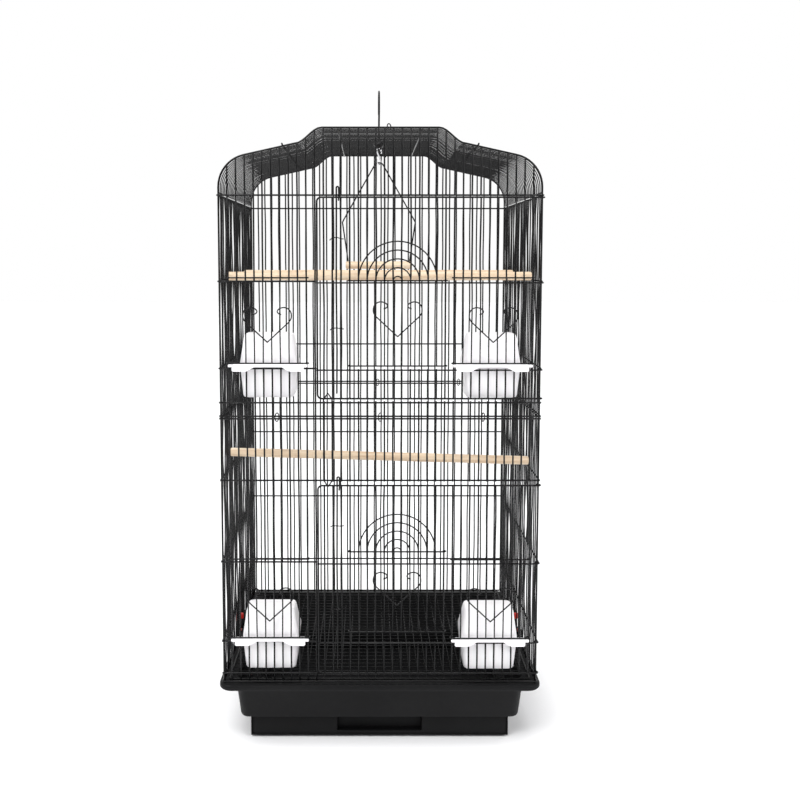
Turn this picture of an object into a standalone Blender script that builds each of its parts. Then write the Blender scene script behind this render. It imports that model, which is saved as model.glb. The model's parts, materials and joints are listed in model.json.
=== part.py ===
"""Tabletop flight cage for small birds: wire panels and doors on a plastic base.

Lengths here are millimetres; make() turns them into metres.
X runs to the right as seen from the front, Y to the back and Z up.
The origin is the middle of the underside.
"""

import math

import bmesh
import bpy
from mathutils import Vector

MM = 0.001

# Wires and clearances
PITCH = 12.0
WIRE = 2.0
RAIL = 2.4
GAP = 0.7
TOUCH = 0.3

# Planes of the wire panels
SIDE_X = 222.0
FRONT_Y = -170.0
BACK_Y = 170.0
DOOR_Y = FRONT_Y - WIRE - GAP
SIDE_HALF = 165.0
SIDE_WIRES = 29
ROOF_WIRES = 28

# Heights of the fixed rails, lower section then upper section
LOWER_FOOT, LOWER_SKIRT, LOWER_SILL, LOWER_HEAD = 100.6, 113.0, 159.5, 275.0
LOWER_LINTEL, LOWER_TOP = 392.0, 479.0
UPPER_FOOT, UPPER_THRESHOLD = 484.0, 502.0
UPPER_SILL, UPPER_HEAD, EAVES = 550.0, 671.0, 789.0

# Roof outline, seen from the front
ROOF_FLAT, ROOF_FLAT_Z = 80.0, 882.0
ROOF_DIP, ROOF_DIP_Z = 117.0, 860.6
ROOF_SLOPE = math.tan(math.radians(12.5))
CORNER_RADIUS, CORNER_Z = 45.0, 801.2
CORNER_X = SIDE_X - CORNER_RADIUS
OUTLINE_RAIL = 3.0
ROOF_DROP = 1.5
ROOF_TIE_X = 134.0

# Front openings
POST_X = -90.0
STILE_X = -87.0
ARCH_CENTRE = 24.0
ARCH_JAMBS = (-42.0, 90.0)
FEEDER_JAMBS = (102.0, 210.0)
FEEDER_CENTRE = 156.0

# Door rails, bottom to top
UPPER_DOOR_RAILS = (508.0, 548.0, 669.0, 786.0)
LOWER_DOOR_RAILS = (113.5, 158.0, 273.0, 385.0)
UPPER_ARCH_RAILS = (554.0, 672.0)
LOWER_ARCH_RAILS = (175.0, 291.0)
UPPER_GATE_RAILS = (557.4, 676.0)
LOWER_GATE_RAILS = (165.4, 279.5)

# Bolt rods, their guides, and the hairpin between the doors
BOLT_X = -60.0
BOLT_RADIUS = 1.2
UPPER_BOLT, UPPER_GUIDES = (516.0, 800.0), (605.0, 729.0)
LOWER_BOLT, LOWER_GUIDES = (122.0, 398.0), (207.0, 327.0)
GUIDE_HALF, GUIDE_REACH, GUIDE_THICK = 6.0, 6.0, 1.6
STOP_X, STOP_Z, STOP_TIP = (-79.0, -67.0), (382.0, 515.0), 9.0

# Feeder cups, about the middle of the flange at the grille
UPPER_CUP_Z, LOWER_CUP_Z = 556.0, 164.0
CUP_WALL = 2.0
CUP_LEVELS = [(-35, 35, 4, 57, -48), (-38.5, 38.5, 2, 64, 0), (-34.5, 34.5, 2, 40, 42)]
CUP_MOUTH = (-32, 32, 20, 80, 3, 36)
CUP_FLANGE, CUP_FLANGE_Z = (-49, 49, -3.6, 5.0), (-2.8, -0.2)
CUP_LIP = [(-55, 55, -2.9, 0), (-55, -20, -10, 0), (20, 55, -10, 0)]
CUP_LIP_Y = (-4.4, -1.6)

# Base
RIM = (460.0, 360.0)
RIM_Z = (89.0, 98.0)
TUB_TOP, TUB_BOTTOM, TUB_Z = (417.0, 317.0), (406.0, 306.0), 37.0
STEP = (378.0, 280.0)
FOOT_X, FOOT_Y, FOOT_HEIGHT = 165.0, 118.0, 3.0
FOOT_HALF = (16.0, 12.0)
WALL = 2.2
TRAY_HALF = 186.0
TRAY_Z = (6.0, 35.6)
RECESS_HALF, RECESS_DEPTH = 62.0, 9.0
TRAY_FRONT = 14.0
GRATE_HALF = (216.0, 162.0)
GRATE_WIRES = 28

# Perches: depth, height at the left and at the right
PERCH_REACH, PERCH_RADIUS = 219.0, 6.3
PERCHES = {
    "front_perch": (-114.0, 677.0, 677.0),
    "back_perch": (50.0, 677.0, 677.0),
    "lower_perch": (-110.0, 419.0, 406.0),
}

# Hanging pieces, on the middle axis
EYE_Z, EYE_RADIUS = 874.5, 4.5
S_LOOP, S_MIDDLE_Z = 5.5, 860.475
SWING_Z = 850.7
SWING_KNEE = (57.0, 758.0)
SWING_PERCH_Z, SWING_PERCH_RADIUS = 691.5, 6.0
HOOK_TOP, HOOK_LOOP, HOOK_RADIUS = 961.0, 22.0, 1.5

# Base latches
LATCH_Y = -5.9
LATCH_AXIS = (228.0, 103.6)
LATCH_HALF, LATCH_HEIGHT = 4.0, 31.5
LATCH_EARS = ((-6.6, -4.5), (4.5, 6.6))

# Tie rings
SEAM_CLIP_X = (("left", -144.0), ("middle", 0.0), ("right", 144.0))
ROOF_CLIP_X = 12.0
CLIP_HALF, CLIP_THICK = 2.7, 1.3

MATERIALS = {
    "black_wire": ((0.010, 0.010, 0.011), 0.38, 0.6),
    "base_plastic": ((0.013, 0.013, 0.015), 0.55, 0.0),
    "cup_plastic": ((0.86, 0.85, 0.88), 0.35, 0.0),
    "perch_wood": ((0.72, 0.52, 0.36), 0.65, 0.0),
    "bright_chrome": ((0.80, 0.80, 0.82), 0.12, 1.0),
    "latch_plastic": ((0.35, 0.03, 0.02), 0.40, 0.0),
}

GRID = [-SIDE_X + PITCH * k for k in range(38)]
LEFT = [x for x in GRID if x <= POST_X]
LEFT_JAMBS = [x for x in LEFT if not -FEEDER_JAMBS[1] < x < -FEEDER_JAMBS[0]]
DOOR_WIRES = [x for x in GRID if STILE_X < x <= FEEDER_JAMBS[1]]
DOOR_JAMBS = [x for x in DOOR_WIRES if x <= ARCH_JAMBS[0] or x in (*ARCH_JAMBS, *FEEDER_JAMBS)]


# ---------------------------------------------------------------- scene helpers


def clear_scene():
    for obj in list(bpy.data.objects):
        bpy.data.objects.remove(obj)


def principled(name):
    color, roughness, metallic = MATERIALS[name]
    material = bpy.data.materials.get(name) or bpy.data.materials.new(name)
    material.use_nodes = True
    shader = material.node_tree.nodes["Principled BSDF"]
    shader.inputs["Base Color"].default_value = (*color, 1.0)
    shader.inputs["Roughness"].default_value = roughness
    shader.inputs["Metallic"].default_value = metallic
    return material


def place_object(name, mesh, pivot, parent):
    """pivot is in world millimetres, also for a child."""
    obj = bpy.data.objects.new(name, mesh)
    bpy.context.scene.collection.objects.link(obj)
    obj.location = Vector(pivot) * MM
    if parent:
        obj.parent = parent
        obj.location -= parent.location
    return obj


def finished_mesh(name, bm, material, pivot=(0.0, 0.0, 0.0)):
    """Mesh in metres, measured from pivot, of a bmesh in millimetres."""
    bmesh.ops.recalc_face_normals(bm, faces=bm.faces)
    for vert in bm.verts:
        vert.co = (vert.co - Vector(pivot)) * MM
    mesh = bpy.data.meshes.new(name)
    bm.to_mesh(mesh)
    bm.free()
    mesh.materials.append(principled(material))
    mesh.shade_smooth()
    mesh.set_sharp_from_angle(angle=math.radians(35))
    return mesh


def make(name, bm, material, pivot=(0.0, 0.0, 0.0), parent=None):
    """One named object from a bmesh in world millimetres, its origin at pivot."""
    return place_object(name, finished_mesh(name, bm, material, pivot), pivot, parent)


def helper(bm):
    bmesh.ops.recalc_face_normals(bm, faces=bm.faces)
    mesh = bpy.data.meshes.new("helper")
    bm.to_mesh(mesh)
    bm.free()
    return place_object("helper", mesh, (0.0, 0.0, 0.0), None)


def boolean(operation, base, others):
    """base joined with or cut by each of the others in turn, by exact Booleans."""
    objects = [helper(bm) for bm in (base, *others)]
    for other in objects[1:]:
        step = objects[0].modifiers.new(operation, "BOOLEAN")
        step.operation = operation
        step.solver = "EXACT"
        step.object = other
    result = bmesh.new()
    bpy.context.view_layer.update()
    result.from_object(objects[0], bpy.context.evaluated_depsgraph_get())
    for obj in objects:
        mesh = obj.data
        bpy.data.objects.remove(obj)
        bpy.data.meshes.remove(mesh)
    return result


def union(base, *others):
    return boolean("UNION", base, others)


def cut(base, *others):
    return boolean("DIFFERENCE", base, others)


# ---------------------------------------------------------------- solids


def grille(bars, place, bends=()):
    """A sheet of joined rectangles (u0, u1, v0, v1); place(u, v, side) is a corner of its two skins."""
    us = sorted({round(u, 4) for bar in bars for u in bar[:2]} | {round(u, 4) for u in bends})
    vs = sorted({round(v, 4) for bar in bars for v in bar[2:]})
    filled = set()
    for i, (u0, u1) in enumerate(zip(us, us[1:])):
        for j, (v0, v1) in enumerate(zip(vs, vs[1:])):
            u, v = (u0 + u1) / 2, (v0 + v1) / 2
            if any(bar[0] < u < bar[1] and bar[2] < v < bar[3] for bar in bars):
                filled.add((i, j))
    bm = bmesh.new()
    corners = {}

    def corner(i, j, side):
        if (i, j, side) not in corners:
            corners[i, j, side] = bm.verts.new(place(us[i], vs[j], side))
        return corners[i, j, side]

    for i, j in sorted(filled):
        ring = [(i, j), (i + 1, j), (i + 1, j + 1), (i, j + 1)]
        bm.faces.new([corner(*at, 1) for at in ring])
        bm.faces.new([corner(*at, -1) for at in reversed(ring)])
        outward = [(i, j - 1), (i + 1, j), (i, j + 1), (i - 1, j)]
        for k, beside in enumerate(outward):
            if beside not in filled:
                a, b = ring[k], ring[(k + 1) % 4]
                bm.faces.new([corner(*a, -1), corner(*b, -1), corner(*b, 1), corner(*a, 1)])
    return bm


def slab(bars, plane, low, high):
    """Joined rectangles in plane xz, xy or yz, extruded from low to high along the third axis."""
    order = {
        "xz": lambda u, v, w: (u, w, v),
        "xy": lambda u, v, w: (u, v, w),
        "yz": lambda u, v, w: (w, u, v),
    }[plane]
    return grille(bars, lambda u, v, side: order(u, v, low if side < 0 else high))


def box(x0, x1, y0, y1, z0, z1):
    return slab([(x0, x1, y0, y1)], "xy", z0, z1)


def tube(points, radius, sides=4, closed=False, up=(0.0, 1.0, 0.0)):
    """A wire along a polyline; with four sides its flats are radius from the middle and face up."""
    points = [Vector(point) for point in points]
    count = len(points)
    corner_radius = radius / math.cos(math.pi / sides)
    normal = Vector(up)
    bm = bmesh.new()
    rings = []
    for i, point in enumerate(points):
        along = Vector((0.0, 0.0, 0.0))
        if i or closed:
            along += (point - points[i - 1]).normalized()
        if i < count - 1 or closed:
            along += (points[(i + 1) % count] - point).normalized()
        along.normalize()
        normal = (normal - along * normal.dot(along)).normalized()
        side = along.cross(normal)
        ring = []
        for k in range(sides):
            angle = (k + 0.5) * math.tau / sides
            offset = normal * math.cos(angle) + side * math.sin(angle)
            ring.append(bm.verts.new(point + offset * corner_radius))
        rings.append(ring)
    for first, second in zip(rings, rings[1:] + rings[:1] if closed else rings[1:]):
        for k in range(sides):
            bm.faces.new([first[k - 1], first[k], second[k], second[k - 1]])
    if not closed:
        bm.faces.new(rings[0])
        bm.faces.new(rings[-1])
    return bm


def arc(centre, radius, start, end, steps):
    """Points (u, v) on a circle, angles in degrees."""
    angles = [math.radians(start + (end - start) * k / steps) for k in range(steps + 1)]
    return [(centre[0] + radius * math.cos(a), centre[1] + radius * math.sin(a)) for a in angles]


def frustum(levels, chamfer=0.0):
    """Closed stack of rectangles (x0, x1, y0, y1, z), their corners cut off by chamfer."""
    bm = bmesh.new()
    rings = []
    for x0, x1, y0, y1, z in levels:
        c = chamfer
        ring = [(x0 + c, y0), (x1 - c, y0), (x1, y0 + c), (x1, y1 - c)]
        ring += [(x1 - c, y1), (x0 + c, y1), (x0, y1 - c), (x0, y0 + c)]
        if not c:
            ring = ring[::2]
        rings.append([bm.verts.new((x, y, z)) for x, y in ring])
    for first, second in zip(rings, rings[1:]):
        for k in range(len(first)):
            bm.faces.new([first[k - 1], first[k], second[k], second[k - 1]])
    bm.faces.new(rings[0])
    bm.faces.new(rings[-1])
    return bm


def centred(size, z):
    return (-size[0] / 2, size[0] / 2, -size[1] / 2, size[1] / 2, z)


def disc(radius, z0, z1, sides=12):
    return tube([(0, 0, z0), (0, 0, z1)], radius, sides)


# ---------------------------------------------------------------- wire panels


def wires(places, low, high):
    return [(at - WIRE / 2, at + WIRE / 2, low, high) for at in places]


def rail(height, start, end):
    return [(start, end, height - RAIL / 2, height + RAIL / 2)]


def outline(x):
    """Height of the roof's outline at x."""
    x = min(abs(x), SIDE_X)
    if x <= ROOF_FLAT:
        return ROOF_FLAT_Z
    if x <= ROOF_DIP:
        turn = math.pi * (x - ROOF_FLAT) / (ROOF_DIP - ROOF_FLAT)
        return ROOF_DIP_Z + (ROOF_FLAT_Z - ROOF_DIP_Z) * (1 + math.cos(turn)) / 2
    corner_start = CORNER_X + CORNER_RADIUS * math.sin(math.atan(ROOF_SLOPE))
    if x <= corner_start:
        return ROOF_DIP_Z - (x - ROOF_DIP) * ROOF_SLOPE
    return CORNER_Z + math.sqrt(CORNER_RADIUS**2 - (x - CORNER_X) ** 2)


# Above this height a panel's v coordinate is measured from the roof outline instead.
FROM_OUTLINE = 1000.0


def gabled(y):
    """Corner placer for a panel whose top follows the roof outline."""

    def place(x, z, side):
        if z >= FROM_OUTLINE - OUTLINE_RAIL:
            z += outline(x) - FROM_OUTLINE
        return (x, y + side * WIRE / 2, z)

    return place


def staples(heights, plane, ends, face, outward):
    """Cross rails outside a panel at face, each welded to the panel's two end wires."""
    near = face + outward * (WIRE / 2 + TOUCH)
    far = near + outward * WIRE
    y0, y1 = sorted((near, far))
    foot0, foot1 = sorted((face, (near + far) / 2))
    inset = WIRE * 0.35
    bars = [(ends[0], ends[1], y0, y1)]
    for end in ends:
        inner = end + math.copysign(WIRE - inset, -end)
        bars.append((*sorted((end - math.copysign(inset, end), inner)), foot0, foot1))
    if plane == "side":
        bars = [(v0, v1, u0, u1) for u0, u1, v0, v1 in bars]
    return [slab(bars, "xy", z - WIRE / 2, z + WIRE / 2) for z in heights]


def front_panels():
    left = (GRID[0] - WIRE / 2, POST_X + WIRE / 2)
    full = (GRID[0] - WIRE / 2, GRID[-1] + WIRE / 2)
    corner = GRID[-1:]
    lower = (
        wires(LEFT + corner, LOWER_FOOT, LOWER_SILL)
        + wires(LEFT_JAMBS + corner, LOWER_SILL, LOWER_HEAD)
        + wires(LEFT + corner, LOWER_HEAD, LOWER_LINTEL)
        + wires(GRID, LOWER_LINTEL, LOWER_TOP)
        + rail(LOWER_FOOT, *full)
        + rail(LOWER_SKIRT, *left)
        + rail(LOWER_SILL, *left)
        + rail(LOWER_HEAD, *left)
        + rail(LOWER_LINTEL, *full)
        + rail(LOWER_TOP, *full)
    )
    upper = (
        wires(GRID, UPPER_FOOT, UPPER_THRESHOLD)
        + wires(LEFT + corner, UPPER_THRESHOLD, UPPER_SILL)
        + wires(LEFT_JAMBS + corner, UPPER_SILL, UPPER_HEAD)
        + wires(LEFT + corner, UPPER_HEAD, EAVES)
        + wires(GRID, EAVES, FROM_OUTLINE)
        + rail(UPPER_FOOT, *full)
        + rail(UPPER_THRESHOLD, *full)
        + rail(UPPER_SILL, *left)
        + rail(UPPER_HEAD, *left)
        + rail(EAVES, *full)
        + [(*full, FROM_OUTLINE - OUTLINE_RAIL, FROM_OUTLINE)]
    )
    make("lower_front_panel", grille(lower, gabled(FRONT_Y)), "black_wire")
    make("upper_front_panel", grille(upper, gabled(FRONT_Y)), "black_wire")


def back_panels():
    ends = (GRID[0] - WIRE / 2, GRID[-1] + WIRE / 2)
    lower = wires(GRID, LOWER_FOOT, LOWER_TOP) + rail(LOWER_FOOT, *ends) + rail(LOWER_TOP, *ends)
    upper = (
        wires(GRID, UPPER_FOOT, FROM_OUTLINE)
        + rail(UPPER_FOOT, *ends)
        + [(*ends, FROM_OUTLINE - OUTLINE_RAIL, FROM_OUTLINE)]
    )
    across = {
        "lower_back_panel": (lower, (LOWER_SILL, LOWER_HEAD, LOWER_LINTEL)),
        "upper_back_panel": (upper, (UPPER_SILL, UPPER_HEAD, EAVES)),
    }
    for name, (bars, heights) in across.items():
        body = grille(bars, gabled(BACK_Y))
        make(name, union(body, *staples(heights, "back", ends, BACK_Y, 1)), "black_wire")


def side_panels():
    step = 2 * SIDE_HALF / (SIDE_WIRES - 1)
    places = [-SIDE_HALF + step * k for k in range(SIDE_WIRES)]
    ends = (-SIDE_HALF - WIRE / 2, SIDE_HALF + WIRE / 2)
    sections = {
        "lower": (LOWER_FOOT, LOWER_TOP, (LOWER_SILL, LOWER_HEAD, LOWER_LINTEL)),
        "upper": (UPPER_FOOT, EAVES, (UPPER_SILL, UPPER_HEAD)),
    }
    for section, (low, high, across) in sections.items():
        bars = wires(places, low, high) + rail(low, *ends) + rail(high, *ends)
        for side, sign in (("left", -1), ("right", 1)):
            x = sign * SIDE_X
            body = slab(bars, "yz", x - WIRE / 2, x + WIRE / 2)
            rails = staples(across, "side", ends, x, sign)
            make(f"{section}_{side}_panel", union(body, *rails), "black_wire")


def roof_stations():
    """Right half of the roof's cross section, eaves to middle, as points (x, z)."""
    slope = math.degrees(math.atan(ROOF_SLOPE))
    points = [(SIDE_X, EAVES + RAIL)]
    points += arc((CORNER_X, CORNER_Z - ROOF_DROP), CORNER_RADIUS, 40.0, 90.0 - slope, 1)
    points += [(x, outline(x) - ROOF_DROP) for x in (ROOF_DIP, ROOF_FLAT)]
    return points


def roof_panel():
    half = roof_stations()
    points = half + [(-x, z) for x, z in reversed(half)]
    along = [0.0]
    for (x0, z0), (x1, z1) in zip(points, points[1:]):
        along.append(along[-1] + math.hypot(x1 - x0, z1 - z0))

    def normal(k):
        before, after = points[max(k - 1, 0)], points[min(k + 1, len(points) - 1)]
        return Vector((after[1] - before[1], before[0] - after[0])).normalized()

    def place(s, y, side):
        k = next(k for k in range(len(along) - 1) if s <= along[k + 1] + 1e-3)
        t = (s - along[k]) / (along[k + 1] - along[k])
        at = Vector(points[k]).lerp(Vector(points[k + 1]), t)
        out = normal(k).lerp(normal(k + 1), t).normalized() * side * WIRE / 2
        return (at.x + out.x, y, at.y + out.y)

    step = 2 * SIDE_HALF / (ROOF_WIRES - 1)
    runs = [-SIDE_HALF + step * k for k in range(ROOF_WIRES)]
    bars = [(0.0, along[-1], y - WIRE / 2, y + WIRE / 2) for y in runs]
    edge = (-SIDE_HALF - WIRE / 2, SIDE_HALF + WIRE / 2)
    bars += [(0.0, RAIL, *edge), (along[-1] - RAIL, along[-1], *edge)]
    body = grille(bars, place, along)
    low = outline(ROOF_TIE_X - RAIL / 2) + TOUCH + 0.1
    reach = BACK_Y + RAIL
    ties = []
    for x in (-ROOF_TIE_X, ROOF_TIE_X):
        bar = [(-reach, reach, low, low + WIRE)]
        feet = [(y - 0.7, y + 0.7, low - 2.0, low + WIRE / 2) for y in (-SIDE_HALF, SIDE_HALF)]
        ties.append(slab(bar + feet, "yz", x - RAIL / 2, x + RAIL / 2))
    make("roof_panel", union(body, *ties), "black_wire")


# ---------------------------------------------------------------- doors


def hinge_collar(height):
    """Eight-sided eye round the right corner post."""
    ring = arc((SIDE_X, FRONT_Y), 2.6, 22.5, 337.5, 7)
    return tube([(x, y, height) for x, y in ring], 0.7, closed=True, up=(0, 0, 1))


def bolt_guide(x, height):
    """Staple that holds a bolt rod in front of a door."""
    front = DOOR_Y - WIRE / 2 - GUIDE_REACH
    half = GUIDE_THICK / 2
    bars = [(x - GUIDE_HALF - 1.0, x + GUIDE_HALF + 1.0, front, front + GUIDE_THICK)]
    bars += [(x + at - half, x + at + half, front, DOOR_Y) for at in (-GUIDE_HALF, GUIDE_HALF)]
    return slab(bars, "xy", height - half, height + half)


def door(name, rails, guides):
    foot, sill, head, top = rails
    reach = (STILE_X - WIRE / 2, SIDE_X)
    stile = [STILE_X]
    bars = wires(stile + DOOR_WIRES, foot, sill)
    bars += wires(stile + DOOR_JAMBS, sill, head)
    bars += wires(stile + DOOR_WIRES, head, top)
    for height in rails:
        bars += rail(height, *reach)
    body = slab(bars, "xz", DOOR_Y - WIRE / 2, DOOR_Y + WIRE / 2)
    collars = [hinge_collar(height) for height in (foot, top)]
    rod_guides = [bolt_guide(BOLT_X, height) for height in guides]
    pivot = (SIDE_X, FRONT_Y, foot)
    return make(name, union(body, *collars, *rod_guides), "black_wire", pivot)


def clasped_rail(x0, x1, jambs, y, height):
    """Cross rail of a sliding gate, its ends bent round the jamb wires behind it."""
    front, back = y - GAP - WIRE * 1.5 - 0.1, y - GAP - WIRE / 2 + 0.1
    behind = (y + WIRE / 2 + GAP, y + WIRE / 2 + GAP + 1.8)
    bars = [(x0, x1, front, back)]
    for end, jamb in zip((x0, x1), jambs):
        side = sorted((end, end + math.copysign(1.8, jamb - end)))
        hook = sorted((end, jamb + math.copysign(2.5, jamb - end)))
        bars += [(*side, front, behind[1]), (*hook, *behind)]
    return slab(bars, "xy", height - 1.1, height + 1.1)


def heart(x, y, top):
    """Open wire heart: two inward curls that meet in a point."""
    lobe = 15.0
    half = [(33.5 - 15 + lobe * math.cos(a), top - 14 + 14 * math.sin(a)) for a in (2.6, 1.7, 0.8, -0.1)]
    half = [(12.0, top - 13.0)] + half + [(29.0, top - 24.0)]
    points = [(x - u, y, z) for u, z in half]
    points += [(x, y, top - 48.0)]
    points += [(x + u, y, z) for u, z in reversed(half)]
    return tube(points, 0.9)


def front_layer(y):
    """Middle of the sliding layer in front of a panel whose middle is y."""
    return y - WIRE - GAP


def feeder_gate(name, sign, y, rails, parent):
    ends = (FEEDER_JAMBS[0] - 5.0, FEEDER_JAMBS[1] + 3.7)
    jambs = FEEDER_JAMBS
    if sign < 0:
        ends, jambs = (-ends[1], -ends[0]), (-jambs[1], -jambs[0])
    layer = front_layer(y)
    places = [x for x in GRID if jambs[0] < x < jambs[1]]
    uprights = slab(wires(places, *rails), "xz", layer - WIRE / 2, layer + WIRE / 2)
    pieces = [clasped_rail(*ends, jambs, y, height) for height in rails]
    pieces.append(heart(sign * FEEDER_CENTRE, layer - WIRE / 2 - 0.7, rails[1] - 41.0))
    pivot = (sign * FEEDER_CENTRE, layer, rails[0])
    make(name, union(uprights, *pieces), "black_wire", pivot, parent)


def arch_door(name, rails, parent):
    layer = front_layer(DOOR_Y)
    foot, head = rails
    places = [x for x in GRID if ARCH_JAMBS[0] < x < ARCH_JAMBS[1]]
    uprights = slab(wires(places, *rails), "xz", layer - WIRE / 2, layer + WIRE / 2)
    pieces = [clasped_rail(-49.0, 95.0, ARCH_JAMBS, DOOR_Y, height) for height in rails]
    for k in range(5):
        radius = PITCH * (k + 0.5)
        curve = arc((ARCH_CENTRE, head), radius, 0.0, 180.0, 6)
        pieces.append(tube([(x, layer, z) for x, z in curve], 0.9))
    pieces.append(heart(ARCH_CENTRE, layer - WIRE / 2 - 0.7, head - 29.0))
    make(name, union(uprights, *pieces), "black_wire", (ARCH_CENTRE, layer, foot), parent)


def door_bolt(name, low, high, parent):
    """Sliding rod with a narrow hook at its top, in front of the door."""
    x, y = BOLT_X, DOOR_Y - WIRE / 2 - 2.6
    points = [(x, y, low), (x, y, high - 1.5), (x + 1.9, y, high), (x + 3.8, y, high - 1.5)]
    points.append((x + 3.8, y, high - 20.0))
    make(name, tube(points, BOLT_RADIUS, sides=6), "black_wire", (x, y, low), parent)


def build_doors():
    upper = door("upper_door", UPPER_DOOR_RAILS, UPPER_GUIDES)
    lower = door("lower_door", LOWER_DOOR_RAILS, LOWER_GUIDES)
    arch_door("upper_arch_door", UPPER_ARCH_RAILS, upper)
    arch_door("lower_arch_door", LOWER_ARCH_RAILS, lower)
    door_bolt("upper_door_bolt", *UPPER_BOLT, upper)
    door_bolt("lower_door_bolt", *LOWER_BOLT, lower)
    levels = {
        "upper": (upper, UPPER_GATE_RAILS, UPPER_CUP_Z),
        "lower": (lower, LOWER_GATE_RAILS, LOWER_CUP_Z),
    }
    mesh = cup_mesh()
    for level, (leaf, rails, cup_z) in levels.items():
        feeder_gate(f"{level}_left_gate", -1, FRONT_Y, rails, None)
        feeder_gate(f"{level}_right_gate", 1, DOOR_Y, rails, leaf)
        place_object(f"{level}_left_cup", mesh, (-FEEDER_CENTRE, FRONT_Y, cup_z), None)
        place_object(f"{level}_right_cup", mesh, (FEEDER_CENTRE, DOOR_Y, cup_z), leaf)


def door_stop():
    """Hairpin behind the rails between the two doors."""
    y = FRONT_Y + WIRE + TOUCH
    (left, right), (low, high) = STOP_X, STOP_Z
    middle = (left + right) / 2
    points = [(middle, low), (right, low + STOP_TIP), (right, high - STOP_TIP)]
    points += [(middle, high), (left, high - STOP_TIP), (left, low + STOP_TIP)]
    make("door_stop", tube([(x, y, z) for x, z in points], WIRE / 2, closed=True), "black_wire")


# ---------------------------------------------------------------- feeder cups


def cup_mesh():
    """Hooded cup about its hanging point: middle of the flange, plane of the grille, flange top."""
    lift = (CUP_WALL, 0, -CUP_WALL)
    inner = []
    for (x0, x1, y0, y1, z), rise in zip(CUP_LEVELS, lift):
        inner.append((x0 + CUP_WALL, x1 - CUP_WALL, y0 + CUP_WALL, y1 - CUP_WALL, z + rise))
    flange = slab([CUP_FLANGE], "xy", *CUP_FLANGE_Z)
    ears = slab(CUP_LIP, "xz", *CUP_LIP_Y)
    body = union(frustum(CUP_LEVELS, 5.0), flange, ears)
    body = cut(body, frustum(inner, 4.0), box(*CUP_MOUTH))
    return finished_mesh("feeder_cup", body, "cup_plastic")


# ---------------------------------------------------------------- base


def base_pan():
    low, high = RIM_Z
    step = centred(STEP, 0)[:4]
    solids = [
        frustum([centred(TUB_BOTTOM, TUB_Z), centred(TUB_TOP, low + 0.5)]),
        box(*step, FOOT_HEIGHT, TUB_Z + 0.5),
    ]
    half_x, half_y = FOOT_HALF
    for x in (-FOOT_X, FOOT_X):
        for y in (-FOOT_Y, FOOT_Y):
            foot = (x - half_x, x + half_x, y - half_y, y + half_y)
            solids.append(box(*foot, 0, FOOT_HEIGHT + 0.5))
    for sign in (-1, 1):
        x0, x1 = sorted((sign * (LATCH_AXIS[0] - 2.8), sign * (LATCH_AXIS[0] + 1.8)))
        for near, far in LATCH_EARS:
            ear = (x0, x1, LATCH_Y + near, LATCH_Y + far)
            solids.append(box(*ear, high - 0.5, LATCH_AXIS[1] + 3.5))
    body = union(box(*centred(RIM, 0)[:4], low, high), *solids)
    inner_bottom = (TUB_BOTTOM[0] - 2 * WALL, TUB_BOTTOM[1] - 2 * WALL)
    inner_top = (TUB_TOP[0] - 2 * WALL, TUB_TOP[1] - 2 * WALL)
    well = frustum([centred(inner_bottom, TUB_Z + WALL), centred(inner_top, high + 0.5)])
    inside = TRAY_HALF + 0.8
    slot = box(-inside, inside, step[2] - 5, step[3] - WALL, FOOT_HEIGHT + WALL, TUB_Z - 0.8)
    shaft = box(-inside, inside, step[2] + 6, step[3] - WALL, TUB_Z - 2, TUB_Z + WALL + 1)
    make("base_pan", cut(body, well, slot, shaft), "base_plastic")


def slide_out_tray():
    """Shallow drawer in the base's lower step, with a finger recess in its thick front."""
    front, back = -STEP[1] / 2 + 0.4, STEP[1] / 2 - WALL - 0.8
    low, high = TRAY_Z
    body = box(-TRAY_HALF, TRAY_HALF, front, back, low, high)
    inside = (-TRAY_HALF + WALL, TRAY_HALF - WALL, front + TRAY_FRONT, back - WALL)
    well = box(*inside, low + WALL, high + 5)
    grip = (-RECESS_HALF, RECESS_HALF, front - 5, front + RECESS_DEPTH)
    recess = box(*grip, low + 4, high - 5)
    make("slide_out_tray", cut(body, well, recess), "base_plastic", (0.0, front, low))


def floor_grate():
    (half_x, half_y), z = GRATE_HALF, RIM_Z[1] + TOUCH
    step = (2 * half_y - WIRE) / (GRATE_WIRES - 1)
    places = [-half_y + WIRE / 2 + step * k for k in range(GRATE_WIRES)]
    bars = [(-half_x, half_x, y - WIRE / 2, y + WIRE / 2) for y in places]
    bars += [(x - RAIL / 2, x + RAIL / 2, -half_y, half_y) for x in (-half_x, half_x)]
    make("floor_grate", slab(bars, "xy", z, z + WIRE), "black_wire")


def base_latches():
    """Red levers at the sides whose noses hold the cage's bottom rail down on the rim."""
    x, z = LATCH_AXIS
    for side, sign in (("left", -1), ("right", 1)):
        lever = sorted((sign * (x - 2.8), sign * (x + 1.5)))
        nose = sorted((sign * (SIDE_X - 0.7), sign * (x - 1.0)))
        bars = [(*lever, z - 2.5, z + LATCH_HEIGHT), (*nose, z - 1.2, z + 1.5)]
        lever_solid = slab(bars, "xz", LATCH_Y - LATCH_HALF, LATCH_Y + LATCH_HALF)
        make(f"{side}_base_latch", lever_solid, "latch_plastic", (sign * x, LATCH_Y, z))


# ---------------------------------------------------------------- perches, swing and hook


def perches():
    for name, (y, left_z, right_z) in PERCHES.items():
        ends = [(-PERCH_REACH, y, left_z), (PERCH_REACH, y, right_z)]
        make(name, tube(ends, PERCH_RADIUS, sides=12), "perch_wood")


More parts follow.
